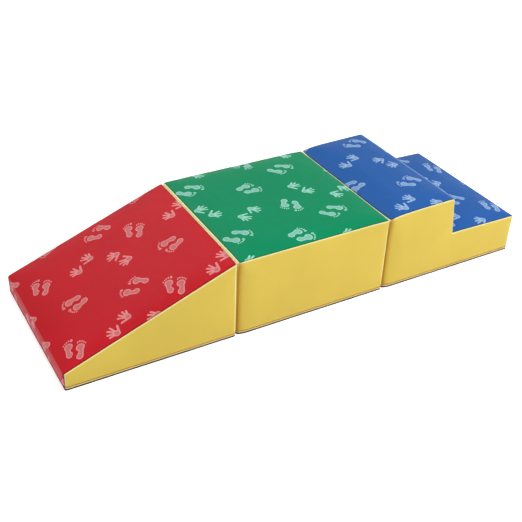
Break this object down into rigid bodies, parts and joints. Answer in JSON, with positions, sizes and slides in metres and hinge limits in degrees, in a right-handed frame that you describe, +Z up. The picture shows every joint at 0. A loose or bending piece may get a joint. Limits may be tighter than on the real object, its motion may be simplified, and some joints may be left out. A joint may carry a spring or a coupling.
{
  "type": "soft play foam climber",
  "caption": "Low soft play climber: foam ramp, platform and steps in sewn vinyl covers that join end to end with hook and loop strips.",
  "frame": {"origin": "on the floor, at the middle of the row of blocks", "axes": "+X along the row from the low end of the ramp to the low end of the steps, +Y across it towards the back, +Z up"},
  "size_m": [1.8601, 0.622, 0.3233],
  "materials": {
    "vinyl_red": "semi-matte grained vinyl with a pale hand and foot print",
    "vinyl_green": "semi-matte grained vinyl with a pale hand and foot print",
    "vinyl_blue": "semi-matte grained vinyl with a pale hand and foot print",
    "vinyl_yellow": "semi-matte grained vinyl",
    "base_vinyl": "matt non-slip coated cloth",
    "foam": "open-cell polyurethane foam",
    "zipper_tape": "woven polyester tape",
    "zipper_teeth": "moulded nylon coil",
    "zipper_metal": "nickel-plated zinc",
    "hook_tape": "moulded hooks on woven tape",
    "loop_tape": "brushed loop pile"
  },
  "bodies": {
    "platform": {"platform_foam_core": "foam", "platform_top_panel": "vinyl_green", "platform_front_side_panel": "vinyl_yellow", "platform_back_side_panel": "vinyl_yellow", "platform_left_end_panel": "vinyl_yellow", "platform_right_end_panel": "vinyl_yellow", "platform_base_panel": "base_vinyl", "platform_zipper_left_tape": "zipper_tape", "platform_zipper_right_tape": "zipper_tape", "platform_zipper_chain": "zipper_teeth", "platform_left_lower_loop_strip": "loop_tape", "platform_left_upper_loop_strip": "loop_tape", "platform_right_lower_loop_strip": "loop_tape", "platform_right_upper_loop_strip": "loop_tape"},
    "ramp": {"ramp_foam_core": "foam", "ramp_slope_panel": "vinyl_red", "ramp_front_side_panel": "vinyl_yellow", "ramp_back_side_panel": "vinyl_yellow", "ramp_right_end_panel": "vinyl_yellow", "ramp_base_panel": "base_vinyl", "ramp_zipper_left_tape": "zipper_tape", "ramp_zipper_right_tape": "zipper_tape", "ramp_zipper_chain": "zipper_teeth", "ramp_right_lower_hook_strip": "hook_tape", "ramp_right_upper_hook_strip": "hook_tape"},
    "steps": {"steps_foam_core": "foam", "steps_tread_panel": "vinyl_blue", "steps_front_side_panel": "vinyl_yellow", "steps_back_side_panel": "vinyl_yellow", "steps_left_end_panel": "vinyl_yellow", "steps_base_panel": "base_vinyl", "steps_zipper_left_tape": "zipper_tape", "steps_zipper_right_tape": "zipper_tape", "steps_zipper_chain": "zipper_teeth", "steps_left_lower_hook_strip": "hook_tape", "steps_left_upper_hook_strip": "hook_tape"},
    "platform_slider": {"platform_zipper_slider": "zipper_metal"},
    "ramp_slider": {"ramp_zipper_slider": "zipper_metal"},
    "steps_slider": {"steps_zipper_slider": "zipper_metal"}
  },
  "joints": [
    {"name": "ramp_pull_off", "type": "slide", "parent": "platform", "child": "ramp", "axis": [-1, 0, 0], "range_m": [0, 0.3]},
    {"name": "steps_pull_off", "type": "slide", "parent": "platform", "child": "steps", "axis": [1, 0, 0], "range_m": [0, 0.3]},
    {"name": "platform_zip", "type": "slide", "parent": "platform", "child": "platform_slider", "axis": [0, -1, 0], "range_m": [0, 0.484], "deforming": ["platform_zipper_chain"]},
    {"name": "ramp_zip", "type": "slide", "parent": "ramp", "child": "ramp_slider", "axis": [0, -1, 0], "range_m": [0, 0.484], "deforming": ["ramp_zipper_chain"]},
    {"name": "steps_zip", "type": "slide", "parent": "steps", "child": "steps_slider", "axis": [0, -1, 0], "range_m": [0, 0.484], "deforming": ["steps_zipper_chain"]}
  ]
}
